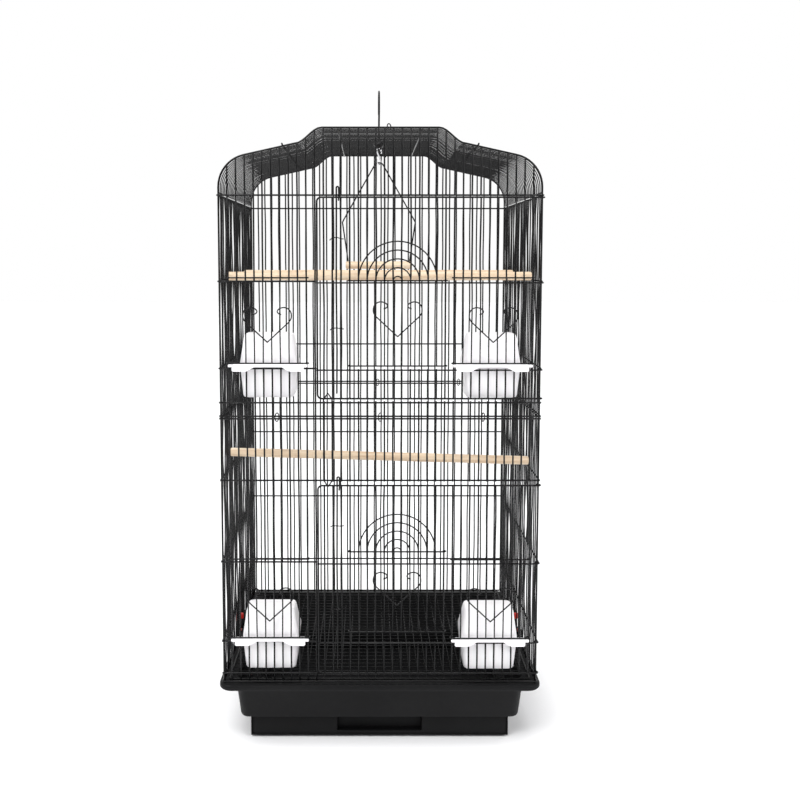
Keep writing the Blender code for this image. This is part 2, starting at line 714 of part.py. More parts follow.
def swing():
    rest = SWING_PERCH_Z + SWING_PERCH_RADIUS + 2 * TOUCH
    half = [(48.0, rest), SWING_KNEE, (7.0, SWING_Z - 4.2), (4.0, SWING_Z)]
    points = [(-x, 0, z) for x, z in half] + [(x, 0, z) for x, z in reversed(half)]
    pivot = (0.0, 0.0, SWING_Z)
    frame = make("swing_frame", tube(points, 1.0, sides=6), "black_wire", pivot)
    ends = [(-52, 0, SWING_PERCH_Z), (52, 0, SWING_PERCH_Z)]
    make("swing_perch", tube(ends, SWING_PERCH_RADIUS, sides=12), "perch_wood", pivot, frame)


def hanging_hook():
    """Cage hook with its stem, two washers and the eye under the roof, and the S-hook in the eye."""
    centre = (0.0, HOOK_TOP - HOOK_RADIUS - HOOK_LOOP)
    points = [(0.0, EYE_Z + EYE_RADIUS - 0.3), (0.0, centre[1] - HOOK_LOOP - 12)]
    points += arc(centre, HOOK_LOOP, 250.0, -25.0, 13)
    stem = tube([(0, y, z) for y, z in points], HOOK_RADIUS, sides=6, up=(1, 0, 0))
    lean = math.sqrt(0.5)
    ring = arc((0.0, EYE_Z), EYE_RADIUS, 15.0, 345.0, 11)
    eye = tube([(u * lean, -u * lean, z) for u, z in ring], 1.0, closed=True, up=(lean, lean, 0))
    under = disc(9.0, EYE_Z + EYE_RADIUS - 1.3, EYE_Z + EYE_RADIUS + 0.2)
    over = disc(6.0, ROOF_FLAT_Z + 0.2, ROOF_FLAT_Z + 2.0, 10)
    make("top_hook", union(stem, eye, under, over), "black_wire")
    drop = S_MIDDLE_Z - SWING_Z + 2.5 - S_LOOP
    lower = [(u, v - drop) for u, v in arc((0.0, 0.0), S_LOOP, -200.0, -20.0, 8)]
    curve = lower + [(-u, -v) for u, v in reversed(lower)]
    points = [(u * lean, u * lean, S_MIDDLE_Z + v) for u, v in curve]
    bright = tube(points, 1.2, sides=6, up=(lean, -lean, 0))
    make("s_hook", bright, "bright_chrome")


def ring_clips():
    """Wire rings that tie neighbouring panels together."""

    def ring(name, x, y0, y1, z0, z1):
        bars = [(y0, y1, z0, z0 + CLIP_THICK), (y0, y1, z1 - CLIP_THICK, z1)]
        bars += [(y0, y0 + CLIP_THICK, z0, z1), (y1 - CLIP_THICK, y1, z0, z1)]
        make(name, slab(bars, "yz", x - 1.2, x + 1.2), "black_wire")

    seam = (LOWER_TOP - 3.0, UPPER_FOOT + 3.0)
    for row, y in (("front", FRONT_Y), ("back", BACK_Y)):
        for where, x in SEAM_CLIP_X:
            ring(f"{row}_{where}_seam_clip", x, y - CLIP_HALF, y + CLIP_HALF, *seam)
    top = (ROOF_FLAT_Z - OUTLINE_RAIL - 2.0, ROOF_FLAT_Z + 2.0)
    ring("front_roof_clip", ROOF_CLIP_X, FRONT_Y - CLIP_HALF, -SIDE_HALF + CLIP_HALF, *top)
    ring("back_roof_clip", ROOF_CLIP_X, SIDE_HALF - CLIP_HALF, BACK_Y + CLIP_HALF, *top)


def main():
    clear_scene()
    base_pan()
    slide_out_tray()
    floor_grate()
    base_latches()
    front_panels()
    back_panels()
    side_panels()
    roof_panel()
    build_doors()
    door_stop()
    perches()
    swing()
    hanging_hook()
    ring_clips()


main()
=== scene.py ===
"""Looks of the flight cage: round wires, moulded base and cups, turned perches.

Lengths are millimetres, turned into metres as each mesh is made.
"""

import json
import math
import random

import bmesh
import bpy
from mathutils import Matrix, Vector


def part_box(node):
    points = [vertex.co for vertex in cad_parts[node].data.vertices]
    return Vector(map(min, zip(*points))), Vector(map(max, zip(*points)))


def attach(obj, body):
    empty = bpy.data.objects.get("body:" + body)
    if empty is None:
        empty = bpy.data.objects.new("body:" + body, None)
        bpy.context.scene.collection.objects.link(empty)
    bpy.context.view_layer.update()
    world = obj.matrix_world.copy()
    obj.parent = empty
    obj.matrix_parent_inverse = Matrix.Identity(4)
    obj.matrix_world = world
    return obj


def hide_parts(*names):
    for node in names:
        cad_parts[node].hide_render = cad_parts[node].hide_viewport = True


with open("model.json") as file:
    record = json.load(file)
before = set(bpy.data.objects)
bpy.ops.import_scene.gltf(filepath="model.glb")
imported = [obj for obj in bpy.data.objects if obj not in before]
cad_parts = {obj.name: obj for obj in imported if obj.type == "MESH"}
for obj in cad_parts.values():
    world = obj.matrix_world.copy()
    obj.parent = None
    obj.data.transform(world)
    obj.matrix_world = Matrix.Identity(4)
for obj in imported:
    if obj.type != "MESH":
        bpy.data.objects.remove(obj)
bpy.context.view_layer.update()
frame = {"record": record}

MM = 0.001
BODY_OF = {
    node: body
    for body, nodes in frame["record"]["behaviour"]["bodies"].items()
    for node in nodes
}


def box_mm(node):
    """Lowest and highest corners of a CAD node."""
    low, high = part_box(node)
    return Vector(low) / MM, Vector(high) / MM


# Wire radii
WIRE = 1.2
RAIL = 1.25
FRAME_WIRE = 1.35
SIDE_WIRE = 1.0
ROOF_WIRE = 0.85
GATE_WIRE = 0.95
GATE_RAIL = 1.05
HEART_WIRE = 0.9

# Where the wires stand
PITCH = 12.0
SIDE_X = 222.0
FRONT_Y, BACK_Y = -170.0, 170.0
DOOR_Y = -172.7
SIDE_HALF = 165.0
SIDE_WIRES, ROOF_WIRES = 29, 28
GRID = [-SIDE_X + PITCH * k for k in range(38)]

# Rail heights of the fixed panels
SKIRT_RAIL = 113.0
LOWER_RAILS = (100.6, 159.5, 275.0, 392.0, 479.4)
UPPER_RAILS = (482.9, 502.0, 550.0, 671.0, 789.0)
EAVES = UPPER_RAILS[-1]

# Roof outline
ROOF_FLAT, ROOF_FLAT_Z = 80.0, 880.5
ROOF_DIP, ROOF_DIP_Z = 117.0, 859.1
ROOF_ANGLE = math.radians(12.5)
CORNER_RADIUS, CORNER_Z = 45.0, 799.7
CORNER_X = SIDE_X - CORNER_RADIUS
ROOF_TIE_X = 134.0

# Openings
POST_X = -90.0
STILE_X = -87.0
ARCH_CENTRE = 24.0
ARCH_JAMBS = (-42.0, 90.0)
FEEDER_JAMBS = (102.0, 210.0)
FEEDER_CENTRE = 156.0
UPPER_DOOR_RAILS = (508.0, 548.0, 669.0, 786.0)
LOWER_DOOR_RAILS = (113.5, 158.0, 273.0, 385.0)
UPPER_ARCH_RAILS, LOWER_ARCH_RAILS = (554.0, 672.0), (175.0, 291.0)
UPPER_GATE_RAILS, LOWER_GATE_RAILS = (557.4, 676.0), (165.4, 279.5)
BOLT_X = -60.0
BOLT_GUIDES = {"upper_door": (605.0, 729.0), "lower_door": (207.0, 327.0)}

# Base
RIM_TOP = 98.0
RIM_UNDER = RIM_TOP - 8.6
TUB_FLOOR = 37.0
STEP_HALF_X, STEP_HALF_Y = 188.9, 139.8
FOOT_X, FOOT_Y = 165.0, 118.0
RIM_PADS = 20

# Cups: the bottom lies this far under the flange
CUP_DEPTH = 48.0
CUP_WALL = 1.8

PERCH_RADIUS = 6.3
SEED = 11


# ---------------------------------------------------------------- materials


class Nodes:
    """Short hand for building one node material."""

    def __init__(self, name):
        self.material = bpy.data.materials.new(name)
        self.material.use_nodes = True
        self.tree = self.material.node_tree
        self.shader = self.tree.nodes["Principled BSDF"]

    def add(self, kind, **settings):
        node = self.tree.nodes.new(kind)
        for key, value in settings.items():
            if key in node.inputs:
                node.inputs[key].default_value = value
            else:
                setattr(node, key, value)
        return node

    def link(self, source, target):
        self.tree.links.new(source, target)

    def set(self, **sockets):
        for name, value in sockets.items():
            self.shader.inputs[name.replace("_", " ")].default_value = value

    def noise(self, scale, detail=4.0, stretch=(1.0, 1.0, 1.0)):
        """Object-space noise, scale in features per metre."""
        where = self.add("ShaderNodeTexCoord")
        mapping = self.add("ShaderNodeMapping")
        mapping.inputs["Scale"].default_value = stretch
        noise = self.add("ShaderNodeTexNoise", Scale=scale, Detail=detail)
        self.link(where.outputs["Object"], mapping.inputs["Vector"])
        self.link(mapping.outputs["Vector"], noise.inputs["Vector"])
        return noise.outputs["Fac"]

    def ramp(self, source, stops):
        ramp = self.add("ShaderNodeValToRGB")
        elements = ramp.color_ramp.elements
        while len(elements) < len(stops):
            elements.new(0.5)
        for element, (position, color) in zip(elements, stops):
            element.position = position
            element.color = (*color, 1.0)
        self.link(source, ramp.inputs["Fac"])
        return ramp.outputs["Color"]

    def bump(self, height, strength, distance):
        bump = self.add("ShaderNodeBump", Strength=strength, Distance=distance)
        self.link(height, bump.inputs["Height"])
        self.link(bump.outputs["Normal"], self.shader.inputs["Normal"])

    def remap(self, source, low, high):
        remap = self.add("ShaderNodeMapRange")
        remap.inputs["To Min"].default_value = low
        remap.inputs["To Max"].default_value = high
        self.link(source, remap.inputs["Value"])
        return remap.outputs["Result"]


def wire_material():
    """Black electro-coated wire: slightly uneven gloss, dull patches."""
    m = Nodes("black_coated_wire")
    m.set(IOR=1.45, Specular_IOR_Level=0.24)
    patches = m.noise(55.0, 3.0)
    m.link(m.ramp(patches, [(0.35, (0.0018, 0.0018, 0.002)), (0.7, (0.0055, 0.0055, 0.006))]),
           m.shader.inputs["Base Color"])
    m.link(m.remap(m.noise(320.0, 3.0), 0.14, 0.30), m.shader.inputs["Roughness"])
    m.bump(m.noise(1800.0, 2.0), 0.25, 0.0002)
    return m.material


def base_material():
    """Black moulded plastic with a fine spark-eroded grain."""
    m = Nodes("moulded_base_plastic")
    m.set(IOR=1.46, Specular_IOR_Level=0.13)
    cloud = m.noise(9.0, 4.0)
    m.link(m.ramp(cloud, [(0.3, (0.0042, 0.0042, 0.0046)), (0.75, (0.0078, 0.0078, 0.0082))]),
           m.shader.inputs["Base Color"])
    m.link(m.remap(m.noise(140.0, 5.0), 0.42, 0.60), m.shader.inputs["Roughness"])
    m.bump(m.noise(2600.0, 3.0), 0.30, 0.0003)
    return m.material


def cup_material():
    """White polypropylene, a little translucent, faint flow marks."""
    m = Nodes("white_cup_plastic")
    m.set(IOR=1.49, Subsurface_Weight=0.12, Subsurface_Scale=0.004, Coat_Weight=0.1)
    m.shader.inputs["Subsurface Radius"].default_value = (1.0, 0.9, 0.9)
    flow = m.noise(26.0, 3.0, (1.0, 1.0, 0.35))
    m.link(m.ramp(flow, [(0.3, (0.90, 0.875, 0.90)), (0.7, (0.95, 0.935, 0.95))]),
           m.shader.inputs["Base Color"])
    m.link(m.remap(m.noise(90.0, 3.0), 0.30, 0.42), m.shader.inputs["Roughness"])
    m.bump(m.noise(900.0, 2.0), 0.10, 0.0002)
    return m.material


def wood_material():
    """Pale turned dowel: long grain, darker flecks, a dry surface."""
    m = Nodes("pale_dowel_wood")
    m.set(IOR=1.45, Specular_IOR_Level=0.3)
    grain = m.noise(210.0, 6.0, (0.05, 1.0, 1.0))
    color = m.ramp(grain, [(0.25, (0.62, 0.43, 0.28)), (0.5, (0.82, 0.66, 0.48)),
                           (0.75, (0.90, 0.78, 0.62))])
    patches = m.noise(14.0, 2.0, (0.6, 1.0, 1.0))
    tone = m.ramp(patches, [(0.3, (0.86, 0.80, 0.76)), (0.7, (1.0, 1.0, 1.0))])
    mix = m.add("ShaderNodeMix", data_type="RGBA", blend_type="MULTIPLY")
    mix.inputs["Factor"].default_value = 0.8
    m.link(color, mix.inputs["A"])
    m.link(tone, mix.inputs["B"])
    m.link(mix.outputs["Result"], m.shader.inputs["Base Color"])
    m.link(m.remap(grain, 0.70, 0.52), m.shader.inputs["Roughness"])
    m.bump(grain, 0.35, 0.0004)
    return m.material


def chrome_material():
    m = Nodes("bright_chrome")
    m.set(Metallic=1.0)
    m.link(m.ramp(m.noise(120.0, 2.0), [(0.3, (0.70, 0.70, 0.72)), (0.7, (0.86, 0.86, 0.88))]),
           m.shader.inputs["Base Color"])
    m.link(m.remap(m.noise(900.0, 3.0, (1.0, 1.0, 0.1)), 0.06, 0.20), m.shader.inputs["Roughness"])
    m.bump(m.noise(1500.0, 2.0), 0.05, 0.0001)
    return m.material


def latch_material():
    m = Nodes("red_latch_plastic")
    m.set(IOR=1.48, Coat_Weight=0.3, Coat_Roughness=0.15)
    m.link(m.ramp(m.noise(160.0, 3.0), [(0.3, (0.46, 0.016, 0.012)), (0.7, (0.66, 0.03, 0.02))]),
           m.shader.inputs["Base Color"])
    m.link(m.remap(m.noise(400.0, 2.0), 0.25, 0.40), m.shader.inputs["Roughness"])
    m.bump(m.noise(1200.0, 2.0), 0.10, 0.0002)
    return m.material


WIRE_LOOK = wire_material()
BASE_LOOK = base_material()
CUP_LOOK = cup_material()
WOOD_LOOK = wood_material()
CHROME_LOOK = chrome_material()
LATCH_LOOK = latch_material()


# ---------------------------------------------------------------- pieces and meshes


def mesh_of(name, vertices, faces):
    """Mesh of millimetre vertices, in metres, with its faces turned out."""
    mesh = bpy.data.meshes.new(name)
    mesh.from_pydata([tuple(Vector(v) * MM) for v in vertices], [], faces)
    bm = bmesh.new()
    bm.from_mesh(mesh)
    bmesh.ops.recalc_face_normals(bm, faces=bm.faces)
    bm.to_mesh(mesh)
    bm.free()
    return mesh


def placed(name, mesh):
    obj = bpy.data.objects.new(name, mesh)
    bpy.context.scene.collection.objects.link(obj)
    return obj


def registered(name, node, mesh, look, smooth):
    """Object of a mesh that rides with a CAD node's body; the CAD node itself is hidden."""
    mesh.materials.clear()
    mesh.materials.append(look)
    mesh.shade_smooth()
    mesh.set_sharp_from_angle(angle=math.radians(smooth))
    obj = placed(name, mesh)
    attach(obj, BODY_OF[node])
    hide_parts(node)


def piece(name, node, vertices, faces, look, slot, smooth=60.0):
    registered(name, node, mesh_of(name, vertices, faces), look, smooth)


class Strands:
    """Round wires gathered into one mesh."""

    def __init__(self):
        self.vertices = []
        self.faces = []

    def add(self, path, radius, sides=8, closed=False):
        points = [Vector(p) for p in path]
        count = len(points)
        along = []
        for i in range(count):
            direction = Vector((0.0, 0.0, 0.0))
            if i or closed:
                direction += (points[i] - points[i - 1]).normalized()
            if i < count - 1 or closed:
                direction += (points[(i + 1) % count] - points[i]).normalized()
            along.append(direction.normalized())
        normal = along[0].orthogonal().normalized()
        rings = []
        if not closed:
            rings.append((points[0] - along[0] * radius * 0.45, along[0], radius * 0.55))
        rings += [(p, a, radius) for p, a in zip(points, along)]
        if not closed:
            rings.append((points[-1] + along[-1] * radius * 0.45, along[-1], radius * 0.55))
        start = len(self.vertices)
        for centre, direction, size in rings:
            normal = (normal - direction * normal.dot(direction)).normalized()
            side = direction.cross(normal)
            for k in range(sides):
                angle = math.tau * k / sides
                spoke = normal * math.cos(angle) + side * math.sin(angle)
                self.vertices.append(centre + spoke * size)
        total = len(rings)
        for i in range(total if closed else total - 1):
            first, second = start + i * sides, start + (i + 1) % total * sides
            for k in range(sides):
                j = (k + 1) % sides
                self.faces.append((first + k, first + j, second + j, second + k))
        if not closed:
            self.faces.append(tuple(range(start + sides - 1, start - 1, -1)))
            last = start + (total - 1) * sides
            self.faces.append(tuple(range(last, last + sides)))

    def piece(self, name, node, look=WIRE_LOOK, slot="black_wire"):
        piece(name, node, self.vertices, self.faces, look, slot)


def smooth_path(points, steps):
    """Catmull-Rom curve through points."""
    points = [Vector(p) for p in points]
    result = []
    for i in range(len(points) - 1):
        p0, p1, p2 = points[max(i - 1, 0)], points[i], points[i + 1]
        p3 = points[min(i + 2, len(points) - 1)]
        for k in range(steps):
            t = k / steps
            a = 2 * p1 + (p2 - p0) * t
            b = (2 * p0 - 5 * p1 + 4 * p2 - p3) * t * t
            c = (3 * p1 - p0 - 3 * p2 + p3) * t**3
            result.append((a + b + c) / 2)
    result.append(points[-1])
    return result


def arc(centre, radius, start, end, steps):
    """Points (u, v) on a circle, angles in degrees."""
    angles = [math.radians(start + (end - start) * k / steps) for k in range(steps + 1)]
    return [(centre[0] + radius * math.cos(a), centre[1] + radius * math.sin(a)) for a in angles]


def swayed(place, heights, sway, rng):
    """A wire up through the given heights, held at each and bowed a little between them."""
    points = []
    for low, high in zip(heights, heights[1:]):
        amount = sway * min(1.0, (high - low) / 120.0)
        first, second = rng.uniform(-amount, amount), rng.uniform(-amount, amount) * 0.5
        steps = max(2, round((high - low) / 22.0))
        for k in range(steps):
            t = k / steps
            aside = first * math.sin(math.pi * t) + second * math.sin(math.tau * t)
            points.append(place(aside, low + (high - low) * t))
    points.append(place(0.0, heights[-1]))
    return points


def uprights(strands, xs, y, heights, sway, rng, radius=WIRE):
    for x in xs:
        strands.add(swayed(lambda u, z: (x + u, y, z), heights, sway, rng), radius)


# ---------------------------------------------------------------- fixed panels


def outline(x):
    """Middle of the roof frame wire at x."""
    x = min(abs(x), SIDE_X)
    if x <= ROOF_FLAT:
        return ROOF_FLAT_Z
    if x <= ROOF_DIP:
        turn = math.pi * (x - ROOF_FLAT) / (ROOF_DIP - ROOF_FLAT)
        return ROOF_DIP_Z + (ROOF_FLAT_Z - ROOF_DIP_Z) * (1 + math.cos(turn)) / 2
    if x <= CORNER_X + CORNER_RADIUS * math.sin(ROOF_ANGLE):
        return ROOF_DIP_Z - (x - ROOF_DIP) * math.tan(ROOF_ANGLE)
    return CORNER_Z + math.sqrt(CORNER_RADIUS**2 - (x - CORNER_X) ** 2)


def roof_curve():
    """The outline from the right eaves to the left, as points (x, z)."""
    slope_end = 90.0 - math.degrees(ROOF_ANGLE)
    half = arc((CORNER_X, CORNER_Z), CORNER_RADIUS, 0.0, slope_end, 10)
    slope = (160.0, 134.0, ROOF_DIP)
    bend = (112.0, 107.0, 102.0, 98.5, 95.0, 90.0, 85.0, ROOF_FLAT)
    half += [(x, outline(x)) for x in slope + bend]
    return half + [(-x, z) for x, z in reversed(half)]


def frame_wire(strands, y, foot):
    """Corner posts and roof outline of a front or back panel, bent from one wire."""
    path = [(x, y, z) for x, z in roof_curve()]
    strands.add([(SIDE_X, y, foot), *path, (-SIDE_X, y, foot)], FRAME_WIRE, 10)


def cross_rail(strands, y, z, x0, x1):
    strands.add([(x0 + (x1 - x0) * k / 12, y, z) for k in range(13)], RAIL)


def front_panels():
    rng = random.Random(SEED)
    rail_y = FRONT_Y - 1.1
    left = [x for x in GRID if -SIDE_X < x <= POST_X]
    jambs = [x for x in left if x <= -FEEDER_JAMBS[1] or x >= -FEEDER_JAMBS[0]]
    between = [x for x in GRID if abs(x) < SIDE_X]
    for level, rails in (("lower", LOWER_RAILS), ("upper", UPPER_RAILS)):
        strands = Strands()
        if level == "lower":
            foot, sill, head, lintel, top = rails
            bands, full = [(lintel, top)], (foot, lintel, top)
            for x in (SIDE_X, -SIDE_X):
                strands.add([(x, FRONT_Y, foot), (x, FRONT_Y, top)], FRAME_WIRE, 10)
        else:
            base, foot, sill, head, lintel = rails
            bands, full = [(base, foot)], (base, foot, lintel)
            frame_wire(strands, FRONT_Y, base)
            for x in between:
                heights = (lintel, outline(x))
                strands.add(swayed(lambda u, z: (x + u, FRONT_Y, z), heights, 0.35, rng), WIRE)
        uprights(strands, jambs, FRONT_Y, (foot, sill, head, lintel), 0.35, rng)
        fillers = [x for x in left if x not in jambs]
        uprights(strands, fillers, FRONT_Y, (foot - 1.5, sill), 0.4, rng)
        uprights(strands, fillers, FRONT_Y, (head, lintel), 0.4, rng)
        for low, high in bands:
            uprights(strands, between, FRONT_Y, (low - 1.5, high + 1.5), 0.4, rng)
        for z in full:
            cross_rail(strands, rail_y, z, -SIDE_X - 2.0, SIDE_X + 2.0)
        for z in (sill, head) if level == "upper" else (SKIRT_RAIL, sill, head):
            cross_rail(strands, rail_y, z, -SIDE_X - 2.0, POST_X + 1.0)
        strands.piece(f"{level}_front_grille", f"{level}_front_panel")


def back_panels():
    rng = random.Random(SEED + 1)
    between = [x for x in GRID if abs(x) < SIDE_X]
    rail_y = BACK_Y + 1.7
    strands = Strands()
    foot, top = LOWER_RAILS[0], LOWER_RAILS[-1]
    for x in (-SIDE_X, SIDE_X):
        strands.add([(x, BACK_Y, foot), (x, BACK_Y, top)], FRAME_WIRE, 10)
    uprights(strands, between, BACK_Y, (foot - 1.5, *LOWER_RAILS[1:-1], top), 0.6, rng)
    for z in LOWER_RAILS:
        cross_rail(strands, rail_y, z, -SIDE_X - 1.5, SIDE_X + 1.5)
    strands.piece("lower_back_grille", "lower_back_panel")
    strands = Strands()
    frame_wire(strands, BACK_Y, UPPER_RAILS[0])
    for x in between:
        heights = (UPPER_RAILS[0] - 1.5, *UPPER_RAILS[2:], outline(x))
        strands.add(swayed(lambda u, z: (x + u, BACK_Y, z), heights, 0.6, rng), WIRE)
    for z in (UPPER_RAILS[0], *UPPER_RAILS[2:]):
        cross_rail(strands, rail_y, z, -SIDE_X - 1.5, SIDE_X + 1.5)
    strands.piece("upper_back_grille", "upper_back_panel")


def side_rail(strands, sign, z):
    """Cross rail outside a side panel, its ends hooked round the corner posts."""
    x = sign * (SIDE_X + 1.8)
    hook = []
    for u, v in arc((0.0, 0.0), 2.5, 0.0, 150.0, 5):
        hook.append((sign * (SIDE_X - 0.7 + u), BACK_Y - 0.5 + v, z))
    path = [(x, -SIDE_HALF, z), (x, 0.0, z), (x, SIDE_HALF, z)]
    front_hook = [(px, -py, pz) for px, py, pz in reversed(hook)]
    strands.add(front_hook + path + hook, GATE_RAIL)


def side_panels():
    step = 2 * SIDE_HALF / (SIDE_WIRES - 1)
    places = [-SIDE_HALF + step * k for k in range(SIDE_WIRES)]
    levels = {"lower": LOWER_RAILS, "upper": (UPPER_RAILS[0], *UPPER_RAILS[2:])}
    for k, (side, sign) in enumerate((("left", -1), ("right", 1))):
        rng = random.Random(SEED + 2 + k)
        for level, rails in levels.items():
            strands = Strands()
            heights = (rails[0] - 1.2, *rails[1:-1], rails[-1] + 1.0)
            for y in places:
                bow = rng.uniform(-1.6, 1.6)
                wire = swayed(lambda u, z: (sign * (SIDE_X + bow * u), y + u, z), heights, 1.2, rng)
                strands.add(wire, SIDE_WIRE)
            for z in rails:
                side_rail(strands, sign, z)
            strands.piece(f"{level}_{side}_grille", f"{level}_{side}_panel")


def roof():
    rng = random.Random(SEED + 5)
    step = 2 * SIDE_HALF / (ROOF_WIRES - 1)
    strands = Strands()
    curve = roof_curve()
    eaves_z = EAVES + 3.4
    for k in range(ROOF_WIRES):
        y = -SIDE_HALF + step * k
        first, second = rng.uniform(-0.7, 0.7), rng.uniform(-0.5, 0.5)
        path = [(SIDE_X, y, eaves_z)]
        for i, (x, z) in enumerate(curve):
            t = i / (len(curve) - 1)
            aside = first * math.sin(math.pi * t) + second * math.sin(math.tau * t)
            path.append((x, y + aside, z))
        path.append((-SIDE_X, y, eaves_z))
        strands.add(path, ROOF_WIRE)
    tie_z = outline(ROOF_TIE_X) + 1.9
    under_z = ROOF_FLAT_Z - 1.8
    for sign in (-1, 1):
        x = sign * SIDE_X
        strands.add([(x, y, eaves_z) for y in (-SIDE_HALF - 3.0, SIDE_HALF + 3.0)], WIRE)
        x = sign * ROOF_TIE_X
        tie = ((-173.6, tie_z + 1.2), (FRONT_Y, tie_z + 0.4), (0.0, tie_z), (171.5, tie_z))
        strands.add([(x, y, z) for y, z in tie], WIRE)
        strands.add([(sign * 58.0, y, under_z) for y in (-SIDE_HALF, SIDE_HALF)], 1.1)
    strands.piece("roof_grille", "roof_panel")


# ---------------------------------------------------------------- doors and gates


def post_loop(z, lead_y):
    """Eye of a door rail round the right corner post, from the far side back to the front."""
    ring = arc((SIDE_X, FRONT_Y), 2.95, 130.0, -90.0, 10)
    return [(x, y, z) for x, y in ring] + [(SIDE_X - 7.0, lead_y, z)]


def door(name, rails, seed):
    rng = random.Random(seed)
    foot, sill, head, top = rails
    strands = Strands()
    bend = 6.0
    corner_top = arc((STILE_X + bend, top - bend), bend, 90.0, 180.0, 6)
    corner_foot = arc((STILE_X + bend, foot + bend), bend, 180.0, 270.0, 6)
    path = post_loop(top, DOOR_Y)
    path += [(x, DOOR_Y, z) for x, z in corner_top]
    path += [(x, DOOR_Y, z) for x, z in corner_foot]
    path += list(reversed(post_loop(foot, DOOR_Y)))
    strands.add(path, RAIL, 10)
    for z in (sill, head):
        lead = post_loop(z, DOOR_Y - 1.2)
        strands.add(lead + [(STILE_X - 1.0, DOOR_Y - 1.2, z)], 1.1)
    wires = [x for x in GRID if STILE_X < x <= FEEDER_JAMBS[1]]
    jambs = (*ARCH_JAMBS, *FEEDER_JAMBS)
    through = [x for x in wires if x <= ARCH_JAMBS[0] or x in jambs]
    for x in through:
        uprights(strands, [x], DOOR_Y, rails, 0.12 if x in jambs else 0.6, rng)
    broken = [x for x in wires if x not in through]
    uprights(strands, broken, DOOR_Y, (foot, sill + 1.0), 0.4, rng)
    uprights(strands, broken, DOOR_Y, (head - 1.0, top), 0.8, rng)
    for z in BOLT_GUIDES[name]:
        clip = [(-9.5, 1.2, -1.5), (-7.0, -0.4, 0.6), (-4.0, -3.5, 1.6), (-1.5, -5.3, 2.0)]
        clip += [(1.5, -5.3, 1.9), (4.0, -3.5, 1.2), (7.0, -0.4, 0.4), (9.5, 1.2, 0.2)]
        bent = smooth_path([(BOLT_X + u, DOOR_Y + v, z + w) for u, v, w in clip], 4)
        strands.add(bent, 0.7)
    strands.piece(f"{name}_grille", name)


def clasp(x, toward, y, z):
    """End of a sliding rail bent round a jamb wire at x; toward is the side its rail comes from."""
    turn = arc((0.0, 0.0), 2.5, -90.0, 110.0, 7)
    return [(x - toward * u, y + v, z) for u, v in turn]


def clasped_rail(strands, jambs, y, z):
    left, right = jambs
    right_end = clasp(right, -1, y, z)
    left_end = list(reversed(clasp(left, 1, y, z)))
    strands.add(left_end + right_end, GATE_RAIL)


def heart(strands, x, y, top):
    """Open wire heart whose two ends curl in."""
    lobe = [(19.0, 9.6), (15.6, 8.2), (14.0, 5.6), (15.6, 2.6), (19.2, 0.7), (24.0, 0.0)]
    lobe += [(28.8, 1.7), (32.2, 5.4), (33.5, 10.2), (33.0, 15.2), (30.2, 20.0)]
    right = smooth_path([(x + u, y, top - v) for u, v in lobe], 4)
    left = smooth_path([(x - u, y, top - v) for u, v in lobe], 4)
    point = [(x - 0.7, y, top - 47.4), (x, y, top - 48.0), (x + 0.7, y, top - 47.4)]
    strands.add(left + point + list(reversed(right)), HEART_WIRE)


def feeder_gate(name, sign, y, rails, seed):
    rng = random.Random(seed)
    jambs = FEEDER_JAMBS if sign > 0 else (-FEEDER_JAMBS[1], -FEEDER_JAMBS[0])
    strands = Strands()
    places = [x for x in GRID if jambs[0] < x < jambs[1]]
    uprights(strands, places, y - 3.3, rails, 0.5, rng, GATE_WIRE)
    for z in rails:
        clasped_rail(strands, jambs, y, z)
    heart(strands, sign * FEEDER_CENTRE, y - 4.5, rails[1] - 41.0)
    strands.piece(f"{name}_grille", name)


def arch_door(name, rails, seed):
    rng = random.Random(seed)
    foot, head = rails
    y = DOOR_Y - 3.3
    strands = Strands()
    for k in range(5):
        radius = PITCH * (k + 0.5)
        first, second = rng.uniform(-0.4, 0.4), rng.uniform(-0.4, 0.4)
        left, right = ARCH_CENTRE - radius, ARCH_CENTRE + radius
        middle = (foot + head) / 2
        path = [(left, y, foot), (left + first, y, middle)]
        crown = arc((ARCH_CENTRE, head), radius, 180.0, 0.0, 8 + 4 * k)
        path += [(x, y, z) for x, z in crown]
        path += [(right + second, y, middle), (right, y, foot)]
        strands.add(path, GATE_WIRE)
    for z in rails:
        clasped_rail(strands, ARCH_JAMBS, DOOR_Y, z)
    heart(strands, ARCH_CENTRE, y - 1.2, head - 29.0)
    strands.piece(f"{name}_grille", name)


def door_bolts():
    for level in ("upper", "lower"):
        low, high = box_mm(f"{level}_door_bolt")
        y = (low.y + high.y) / 2
        strands = Strands()
        crown = arc((BOLT_X + 1.6, high.z - 2.8), 1.6, 180.0, 0.0, 6)
        path = [(BOLT_X, y, low.z), (BOLT_X + 0.4, y, low.z + 60), (BOLT_X - 0.4, y, low.z + 150)]
        path += [(BOLT_X, y, high.z - 30)] + [(x, y, z) for x, z in crown]
        path += [(BOLT_X + 3.4, y, high.z - 12), (BOLT_X + 2.9, y, high.z - 20)]
        strands.add(path, 1.15)
        strands.piece(f"{level}_bolt_rod", f"{level}_door_bolt")


def door_stop():
    low, high = box_mm("door_stop")
    y, x0, x1 = (low.y + high.y) / 2, low.x + 1.0, high.x - 1.0
    middle = (x0 + x1) / 2
    points = [(middle, low.z + 1), (x1, low.z + 10), (x1, high.z - 10)]
    points += [(middle, high.z - 1), (x0, high.z - 10), (x0, low.z + 10)]
    strands = Strands()
    strands.add([(x, y, z) for x, z in points], WIRE, closed=True)
    strands.piece("door_stop_wire", "door_stop")


